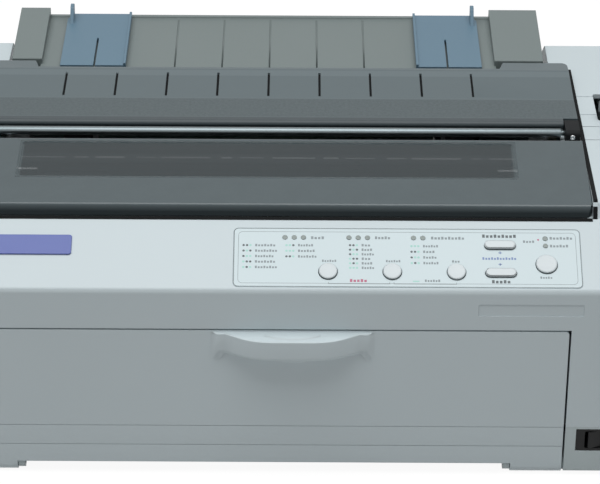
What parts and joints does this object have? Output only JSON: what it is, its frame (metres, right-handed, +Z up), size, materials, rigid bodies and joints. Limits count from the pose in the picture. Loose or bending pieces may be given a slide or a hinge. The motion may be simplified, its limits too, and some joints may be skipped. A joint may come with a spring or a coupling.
{
  "type": "dot matrix printer",
  "caption": "Narrow impact printer with smoked hinged covers, slanted control strip, flat rear paper guide, drop-down front door and working paper and carriage drives.",
  "frame": {"origin": "middle of the footprint, on the table top under the feet", "axes": "+X to the right seen from the front, +Y to the back, +Z up"},
  "size_m": [0.414, 0.35, 0.1723],
  "materials": {
    "case_light": "fine matte moulded",
    "case_grey": "fine matte moulded",
    "smoke_clear": "smoked clear plastic, gloss",
    "smoke_matt": "smoked plastic, satin",
    "guide_grey": "matte moulded",
    "edge_blue": "matte moulded",
    "black_plastic": "matte moulded",
    "dark_plastic": "matte moulded",
    "gear_white": "natural acetal",
    "badge_blue": "gloss",
    "panel_print": "printed polyester sheet",
    "light_pipe": "clear light pipes",
    "key_grey": "fine matte moulded",
    "rubber_black": "matte",
    "zinc_steel": "zinc-plated sheet",
    "bright_steel": "ground bar",
    "satin_roller": "satin drawn tube",
    "motor_case": "satin",
    "brass": "machined",
    "board_green": "solder mask",
    "board_brown": "phenolic board"
  },
  "bodies": {
    "case": {"base_tray": "case_grey", "upper_case": "case_light", "rubber_feet": "rubber_black", "case_screws": "zinc_steel", "badge_plate": "badge_blue", "panel_sheet": "panel_print", "panel_lights": "light_pipe", "panel_board": "board_green", "switch_bezel": "black_plastic", "front_chute": "case_grey", "tension_brackets": "dark_plastic", "side_frame_left": "zinc_steel", "side_frame_right": "zinc_steel", "front_rail": "zinc_steel", "guide_shaft": "bright_steel", "platen_bushes": "gear_white", "paper_chute": "dark_plastic", "ribbon_cartridge": "dark_plastic", "carriage_motor": "motor_case", "carriage_belt": "rubber_black", "feed_motor": "motor_case", "gear_studs": "bright_steel", "tractor_rod": "bright_steel", "main_board": "board_green", "power_board": "board_brown", "ac_inlet": "black_plastic", "interface_ports": "zinc_steel"},
    "button_1": {"button_1": "key_grey"},
    "button_2": {"button_2": "key_grey"},
    "button_3": {"button_3": "key_grey"},
    "oval_1": {"oval_button_1": "key_grey"},
    "oval_2": {"oval_button_2": "key_grey"},
    "big_button": {"large_button": "key_grey"},
    "rocker": {"power_rocker": "black_plastic"},
    "door": {"front_door": "case_grey"},
    "front_lid": {"printer_cover": "smoke_clear"},
    "rear_lid": {"rear_cover": "smoke_matt"},
    "paper_roller": {"tension_roller": "satin_roller"},
    "guide": {"paper_guide": "guide_grey"},
    "left_edge": {"edge_guide_left": "edge_blue"},
    "right_edge": {"edge_guide_right": "edge_blue"},
    "platen": {"platen_roller": "rubber_black", "platen_shaft": "bright_steel", "platen_gear": "gear_white", "platen_knob": "dark_plastic"},
    "head_carriage": {"carriage": "dark_plastic", "print_head": "motor_case"},
    "winder": {"ribbon_knob": "dark_plastic"},
    "belt_drive": {"drive_pulley": "brass"},
    "belt_idler": {"idle_pulley": "gear_white"},
    "pinion": {"motor_pinion": "brass"},
    "idler": {"idler_gear": "gear_white"},
    "transfer": {"transfer_gear": "gear_white"},
    "tractor_drive": {"tractor_gear": "gear_white", "tractor_shaft": "bright_steel"},
    "left_tractor": {"tractor_left": "dark_plastic"},
    "right_tractor": {"tractor_right": "dark_plastic"},
    "left_lid": {"tractor_lids_left": "dark_plastic"},
    "right_lid": {"tractor_lids_right": "dark_plastic"},
    "lever": {"release_lever": "dark_plastic"}
  },
  "joints": [
    {"name": "door_hinge", "type": "hinge", "parent": "case", "child": "door", "pos_m": [0, -0.1575, 0.006], "axis": [1, 0, 0], "range_deg": [0, 78]},
    {"name": "front_cover_hinge", "type": "hinge", "parent": "case", "child": "front_lid", "pos_m": [0, -0.0495, 0.1565], "axis": [-1, 0, 0], "range_deg": [0, 95]},
    {"name": "rear_cover_hinge", "type": "hinge", "parent": "case", "child": "rear_lid", "pos_m": [0, -0.0215, 0.1595], "axis": [1, 0, 0], "range_deg": [0, 80]},
    {"name": "roller_spin", "type": "hinge", "parent": "case", "child": "paper_roller", "pos_m": [0, -0.0307, 0.1585], "axis": [1, 0, 0], "continuous": true},
    {"name": "guide_tilt", "type": "hinge", "parent": "case", "child": "guide", "pos_m": [0, 0.073, 0.153], "axis": [1, 0, 0], "range_deg": [0, 50]},
    {"name": "left_edge_slide", "type": "slide", "parent": "guide", "child": "left_edge", "axis": [1, 0, 0], "range_m": [-0.01, 0.035]},
    {"name": "right_edge_slide", "type": "slide", "parent": "guide", "child": "right_edge", "axis": [1, 0, 0], "range_m": [-0.115, 0.006]},
    {"name": "button_1_press", "type": "slide", "parent": "case", "child": "button_1", "axis": [0, 0.4695, -0.8829], "range_m": [0, 0.001], "stiffness_N_per_m": 400},
    {"name": "button_2_press", "type": "slide", "parent": "case", "child": "button_2", "axis": [0, 0.4695, -0.8829], "range_m": [0, 0.001], "stiffness_N_per_m": 400},
    {"name": "button_3_press", "type": "slide", "parent": "case", "child": "button_3", "axis": [0, 0.4695, -0.8829], "range_m": [0, 0.001], "stiffness_N_per_m": 400},
    {"name": "load_press", "type": "slide", "parent": "case", "child": "oval_1", "axis": [0, 0.4695, -0.8829], "range_m": [0, 0.001], "stiffness_N_per_m": 400},
    {"name": "feed_press", "type": "slide", "parent": "case", "child": "oval_2", "axis": [0, 0.4695, -0.8829], "range_m": [0, 0.001], "stiffness_N_per_m": 400},
    {"name": "pause_press", "type": "slide", "parent": "case", "child": "big_button", "axis": [0, 0.4695, -0.8829], "range_m": [0, 0.001], "stiffness_N_per_m": 400},
    {"name": "rocker_tilt", "type": "hinge", "parent": "case", "child": "rocker", "pos_m": [0.178, -0.1565, 0.0245], "axis": [0, 0, 1], "range_deg": [-14, 0]},
    {"name": "platen_spin", "type": "hinge", "parent": "case", "child": "platen", "pos_m": [0, -0.017, 0.124], "axis": [1, 0, 0], "continuous": true},
    {"name": "idler_spin", "type": "hinge", "parent": "case", "child": "idler", "pos_m": [0, 0.00292, 0.10729], "axis": [1, 0, 0], "continuous": true},
    {"name": "pinion_spin", "type": "hinge", "parent": "case", "child": "pinion", "pos_m": [0, 0.00873, 0.09131], "axis": [1, 0, 0], "continuous": true},
    {"name": "transfer_spin", "type": "hinge", "parent": "case", "child": "transfer", "pos_m": [0, 0.03479, 0.11008], "axis": [1, 0, 0], "continuous": true},
    {"name": "tractor_spin", "type": "hinge", "parent": "case", "child": "tractor_drive", "pos_m": [0, 0.07044, 0.11509], "axis": [1, 0, 0], "continuous": true},
    {"name": "carriage_slide", "type": "slide", "parent": "case", "child": "head_carriage", "axis": [1, 0, 0], "range_m": [0, 0.23]},
    {"name": "drive_pulley_spin", "type": "hinge", "parent": "case", "child": "belt_drive", "pos_m": [-0.1624, -0.085, 0.09], "axis": [0, 0, 1], "continuous": true},
    {"name": "idle_pulley_spin", "type": "hinge", "parent": "case", "child": "belt_idler", "pos_m": [0.136, -0.085, 0.09], "axis": [0, 0, 1], "continuous": true},
    {"name": "ribbon_winder", "type": "hinge", "parent": "case", "child": "winder", "pos_m": [-0.156, -0.085, 0.13], "axis": [0, 0, 1], "continuous": true},
    {"name": "left_tractor_slide", "type": "slide", "parent": "case", "child": "left_tractor", "axis": [1, 0, 0], "range_m": [-0.025, 0.04]},
    {"name": "right_tractor_slide", "type": "slide", "parent": "case", "child": "right_tractor", "axis": [1, 0, 0], "range_m": [-0.08, 0.025]},
    {"name": "left_lid_hinge", "type": "hinge", "parent": "left_tractor", "child": "left_lid", "pos_m": [-0.1471, 0.07044, 0.12729], "axis": [0, -1, 0], "range_deg": [0, 90]},
    {"name": "right_lid_hinge", "type": "hinge", "parent": "right_tractor", "child": "right_lid", "pos_m": [0.1071, 0.07044, 0.12729], "axis": [0, 1, 0], "range_deg": [0, 90]},
    {"name": "lever_tilt", "type": "hinge", "parent": "case", "child": "lever", "pos_m": [0.186, 0.028, 0.098], "axis": [1, 0, 0], "range_deg": [-20, 0]}
  ],
  "couplings": [
    {"joint": "idler_spin", "follows": "platen_spin", "ratio": -1.1667},
    {"joint": "pinion_spin", "follows": "platen_spin", "ratio": 2.8},
    {"joint": "transfer_spin", "follows": "platen_spin", "ratio": 0.7},
    {"joint": "tractor_spin", "follows": "platen_spin", "ratio": -0.875},
    {"joint": "drive_pulley_spin", "follows": "carriage_slide", "rad_per_m": -133.33},
    {"joint": "idle_pulley_spin", "follows": "carriage_slide", "rad_per_m": -133.33}
  ]
}
